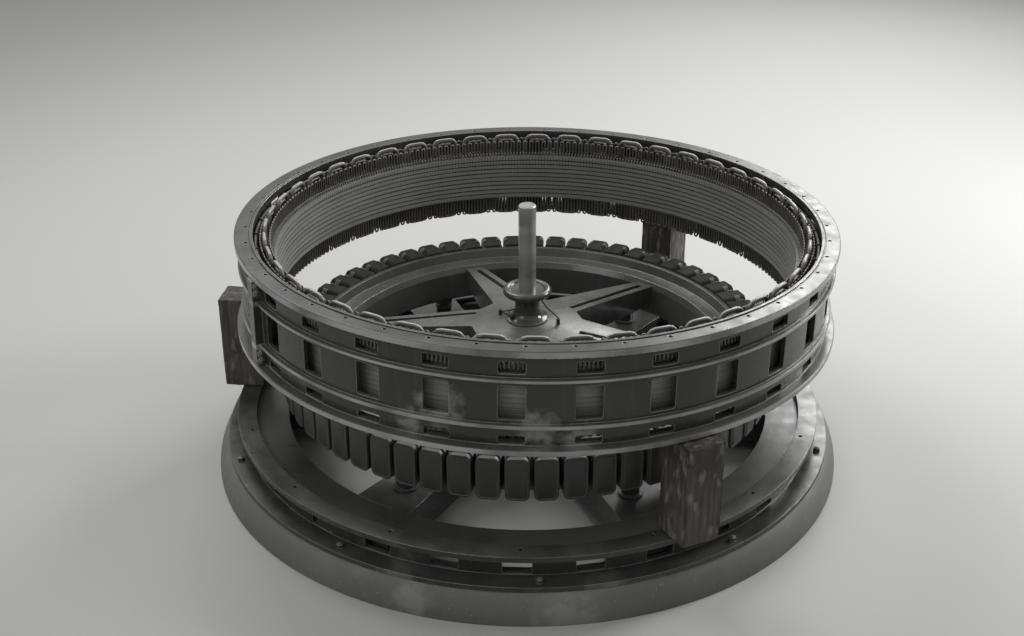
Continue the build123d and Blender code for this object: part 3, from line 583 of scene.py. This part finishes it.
def poleShoe():
    deselect()
    bpy.ops.mesh.primitive_cube_add(size=1, location=(
        shoe["face"] - shoe["field"] - (shoe["thick"] - shoe["field"]) / 2, 0, shoe["low"] + shoe["height"] / 2))
    piece = bpy.context.object
    piece.scale = (shoe["thick"] - shoe["field"], shoe["width"], shoe["height"])
    bpy.ops.object.transform_apply(location=True, scale=True)
    bpy.ops.object.mode_set(mode="EDIT")
    bpy.ops.mesh.select_all(action="DESELECT")
    bpy.ops.object.mode_set(mode="OBJECT")
    for edge in piece.data.edges:
        a, b = (piece.data.vertices[i].co for i in edge.vertices)
        edge.select = abs(a.x - b.x) > 0.01
    bpy.ops.object.mode_set(mode="EDIT")
    bpy.ops.mesh.select_mode(type="EDGE")
    bpy.ops.mesh.bevel(offset=shoe["corner"], segments=5)
    bpy.ops.mesh.select_mode(type="FACE")
    bpy.ops.mesh.select_all(action="DESELECT")
    bpy.ops.object.mode_set(mode="OBJECT")
    for face in piece.data.polygons:
        face.select = face.normal.x > 0.9
    bpy.ops.object.mode_set(mode="EDIT")
    bpy.ops.mesh.inset(thickness=shoe["border"], depth=0)
    bpy.ops.mesh.inset(thickness=shoe["groove"], depth=-shoe["groove"])
    bpy.ops.mesh.inset(thickness=shoe["groove"], depth=shoe["groove"] + shoe["field"])
    bpy.ops.object.mode_set(mode="OBJECT")
    ease = piece.modifiers.new("ease", "BEVEL")
    ease.width = shoe["ease"]
    ease.segments = 2
    ease.limit_method = "ANGLE"
    ease.angle_limit = math.radians(60)
    bpy.ops.object.modifier_apply(modifier="ease")
    bpy.ops.object.shade_smooth_by_angle(angle=math.radians(40))
    return piece


shoePiece = poleShoe()
shoePiece.data.materials.append(poleIron)
copiesAt(shoePiece, "pole_faces", evenly(shoe["count"], shoe["startAngle"]), "rotor", "pole_shoes")
print("pole shoes made")


# Nuts on their washers, with the stud's end standing out of the nut

def nutOnStud(across, washer, nut, stud, studRadius):
    # stands up from the origin
    deselect()
    bpy.ops.mesh.primitive_cylinder_add(vertices=18, radius=across * 0.57, depth=washer, location=(0, 0, washer / 2))
    plate = bpy.context.object
    bpy.ops.object.transform_apply(location=True)
    deselect()
    bpy.ops.mesh.primitive_cylinder_add(
        vertices=6, radius=across / math.sqrt(3), depth=nut, location=(0, 0, washer + nut / 2))
    body = bpy.context.object
    bpy.ops.object.transform_apply(location=True)
    bpy.ops.object.mode_set(mode="EDIT")
    bpy.ops.mesh.select_mode(type="FACE")
    bpy.ops.mesh.select_all(action="DESELECT")
    bpy.ops.object.mode_set(mode="OBJECT")
    for face in body.data.polygons:
        face.select = face.normal.z > 0.9
    bpy.ops.object.mode_set(mode="EDIT")
    bpy.ops.mesh.inset(thickness=across * 0.06, depth=0)
    bpy.ops.mesh.extrude_region_move(TRANSFORM_OT_translate={"value": (0, 0, across * 0.05)})
    bpy.ops.mesh.inset(thickness=across / 2 - across * 0.06 - studRadius, depth=0)
    bpy.ops.mesh.extrude_region_move(TRANSFORM_OT_translate={"value": (0, 0, stud)})
    bpy.ops.mesh.inset(thickness=studRadius * 0.2, depth=0)
    bpy.ops.mesh.extrude_region_move(TRANSFORM_OT_translate={"value": (0, 0, studRadius * 0.15)})
    bpy.ops.object.mode_set(mode="OBJECT")
    return joinAll([body, plate])


anchors = {"count": 10, "startAngle": -16.5, "circle": 2.300, "level": 0.252, "across": 0.046, "washer": 0.004,
           "nut": 0.024, "stud": 0.005, "studRadius": 0.012}
anchorNut = nutOnStud(anchors["across"], anchors["washer"], anchors["nut"], anchors["stud"], anchors["studRadius"])
anchorNut.data.transform(Matrix.Translation((anchors["circle"], 0, anchors["level"])))
anchorNut.data.materials.append(ringPaint)
copiesAt(anchorNut, "anchor_nuts", evenly(anchors["count"], anchors["startAngle"]), "stand",
         "base_bolts")

joint = {"angles": (-152.0, 28.0), "circle": 2.231, "plate": 0.045, "levels": (1.818, 1.762, 1.302, 1.246),
         "across": 0.050, "washer": 0.004, "nut": 0.014, "stud": 0.003, "studRadius": 0.012}
jointNuts = []
for level in joint["levels"]:
    for side in (-1, 1):
        nut = nutOnStud(joint["across"], joint["washer"], joint["nut"], joint["stud"], joint["studRadius"])
        nut.data.transform(Matrix.Translation((joint["circle"], side * joint["plate"], level))
                           @ Matrix.Rotation(math.radians(-90 * side), 4, "X"))
        jointNuts.append(nut)
jointNut = joinAll(jointNuts)
jointNut.data.materials.append(framePaint)
copiesAt(jointNut, "joint_nuts", joint["angles"], "stand", "joint_bolts", statorPlace)
print("nuts made")


# Timber blocks: balks with knocked corners and lumpy, worn faces

blocks = {"angles": {"block_left": 174.6, "block_front": -61.8, "block_rear": 56.4}, "outer": 2.420, "radial": 0.320,
          "width": 0.300, "low": 0.430, "spare": 0.82, "cuts": 11, "roughness": 0.014, "lumpMm": 90, "bevel": 0.007,
          "skin": 0.002}


def timberBlock(name, angle):
    deselect()
    bpy.ops.mesh.primitive_cube_add(
        size=1, location=(blocks["outer"] - blocks["radial"] / 2, 0, blocks["low"] + blocks["spare"] / 2))
    piece = bpy.context.object
    piece.name = name + "_balk"
    piece.scale = (blocks["radial"] - blocks["skin"], blocks["width"] - blocks["skin"], blocks["spare"])
    bpy.ops.object.transform_apply(location=True, scale=True)
    piece.data.transform(Matrix.Rotation(math.radians(angle), 4, "Z"))
    seat = statorPlace @ Vector((0, 0, stator["bottom"]))
    normal = statorPlace.to_3x3() @ Vector((0, 0, 1))
    bpy.ops.object.mode_set(mode="EDIT")
    bpy.ops.mesh.select_all(action="SELECT")
    bpy.ops.mesh.bisect(plane_co=seat, plane_no=normal, use_fill=True, clear_outer=True)
    bpy.ops.mesh.select_all(action="SELECT")
    bpy.ops.mesh.bevel(offset=blocks["bevel"], segments=1)
    bpy.ops.mesh.select_all(action="SELECT")
    bpy.ops.mesh.subdivide(number_cuts=blocks["cuts"])
    bpy.ops.object.mode_set(mode="OBJECT")
    lumps = bpy.data.textures.new(name + "Lumps", "CLOUDS")
    lumps.noise_scale = blocks["lumpMm"] / 1000
    lumps.noise_depth = 3
    worn = piece.modifiers.new("worn", "DISPLACE")
    worn.texture = lumps
    worn.strength = blocks["roughness"]
    worn.mid_level = 1.0
    bpy.ops.object.modifier_apply(modifier="worn")
    bpy.ops.object.shade_smooth_by_angle(angle=math.radians(35))
    piece.data.materials.append(timberFinish)
    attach(piece, "stand")
    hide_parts(name)


for name, angle in blocks["angles"].items():
    timberBlock(name, angle)
print("timber blocks made")


# Brake jacks: a flanged cylinder with its ram and shoe

jack = {"count": 6, "startAngle": -123.3, "place": 1.605, "level": 0.382, "steps": (
    (0.088, 0.018), (0.066, 0.0), (0.066, 0.085), (0.072, 0.0), (0.072, 0.016), (0.046, 0.0), (0.046, 0.028),
    (0.074, 0.0), (0.074, 0.034))}


def brakeJack():
    # turned shape built up from a disc, each step a new radius or a new height
    deselect()
    bpy.ops.mesh.primitive_circle_add(vertices=24, radius=jack["steps"][0][0], fill_type="NGON", location=(0, 0, 0))
    piece = bpy.context.object
    bpy.ops.object.mode_set(mode="EDIT")
    bpy.ops.mesh.select_all(action="SELECT")
    radius = jack["steps"][0][0]
    height = 0
    for newRadius, rise in jack["steps"]:
        bpy.ops.mesh.extrude_region_move(TRANSFORM_OT_translate={"value": (0, 0, rise)})
        bpy.ops.transform.resize(value=(newRadius / radius, newRadius / radius, 1), center_override=(0, 0, height + rise))
        radius, height = newRadius, height + rise
    bpy.ops.mesh.select_all(action="SELECT")
    bpy.ops.mesh.remove_doubles(threshold=0.00001)
    bpy.ops.mesh.normals_make_consistent(inside=False)
    bpy.ops.object.mode_set(mode="OBJECT")
    bpy.ops.object.shade_smooth_by_angle(angle=math.radians(40))
    piece.data.transform(Matrix.Translation((jack["place"], 0, jack["level"])))
    piece.data.materials.append(ringPaint)
    return piece


copiesAt(brakeJack(), "jack_cylinders", evenly(jack["count"], jack["startAngle"]), "stand",
         "brake_jacks")
print("brake jacks made")


# Floor, lamps, world and camera

studio = {"floor": "#b4b4b2", "backdrop": "#c4c4c2", "floorSize": 60, "ambient": 0.38,
          "lamps": (("windowLamp", (9.5, 4.0, 6.0), 4.0, 800), ("hallLamp", (6.5, 12.5, 9.0), 6.0, 1050),
                    ("roofLamp", (-4.0, 5.5, 10.0), 6.0, 560), ("galleryLamp", (-8.0, -7.0, 8.5), 6.0, 230))}


def makeStudio():
    deselect()
    bpy.ops.mesh.primitive_plane_add(size=studio["floorSize"], location=(0, 0, -0.001))
    floor = bpy.context.object
    floor.name = "floor"
    material, tree, shader, coords = startMaterial("paleFloor")
    feed(tree, shader, {"Base Color": studio["floor"], "Roughness": 0.8})
    floor.data.materials.append(material)
    world = bpy.data.worlds.new("studioWorld")
    world.use_nodes = True
    scene.world = world
    tree = world.node_tree
    tree.nodes.clear()
    path = addNode(tree, "ShaderNodeLightPath").node
    seen = path.outputs["Is Camera Ray"]
    for ray in ("Is Glossy Ray", "Is Transmission Ray"):
        seen = addNode(tree, "ShaderNodeMath", larger, {0: seen, 1: path.outputs[ray]})
    ambient = addNode(tree, "ShaderNodeBackground", None, {"Color": "#ffffff", "Strength": studio["ambient"]})
    plain = addNode(tree, "ShaderNodeBackground", None, {"Color": studio["backdrop"], "Strength": 1.0})
    addNode(tree, "ShaderNodeOutputWorld", None, {
        "Surface": addNode(tree, "ShaderNodeMixShader", None, {0: seen, 1: ambient, 2: plain})})
    for name, place, size, power in studio["lamps"]:
        deselect()
        bpy.ops.object.light_add(type="AREA", location=place)
        lamp = bpy.context.object
        lamp.name = name
        lamp.data.size = size
        lamp.data.energy = power
        lamp.rotation_euler = (Vector((0, 0, 1.0)) - Vector(place)).to_track_quat("-Z", "Y").to_euler()


# The camera fitted to the photograph: 1439.8 px of focal length over 1024 px, 26.27 degrees down
view = {"place": (-0.1175, -10.0657, 6.0362), "down": 26.273, "roll": -0.162, "focalPx": 1439.8, "widthPx": 1024,
        "sensorMm": 36}


def makeCamera():
    deselect()
    bpy.ops.object.camera_add(location=view["place"])
    camera = bpy.context.object
    camera.rotation_mode = "ZYX"
    camera.rotation_euler = (math.radians(90 - view["down"]), 0, math.radians(view["roll"]))
    camera.data.sensor_width = view["sensorMm"]
    camera.data.lens = view["focalPx"] / view["widthPx"] * view["sensorMm"]
    camera.data.clip_end = 200
    scene.camera = camera


makeStudio()
makeCamera()
scene.view_settings.view_transform = "Standard"
print("studio made")
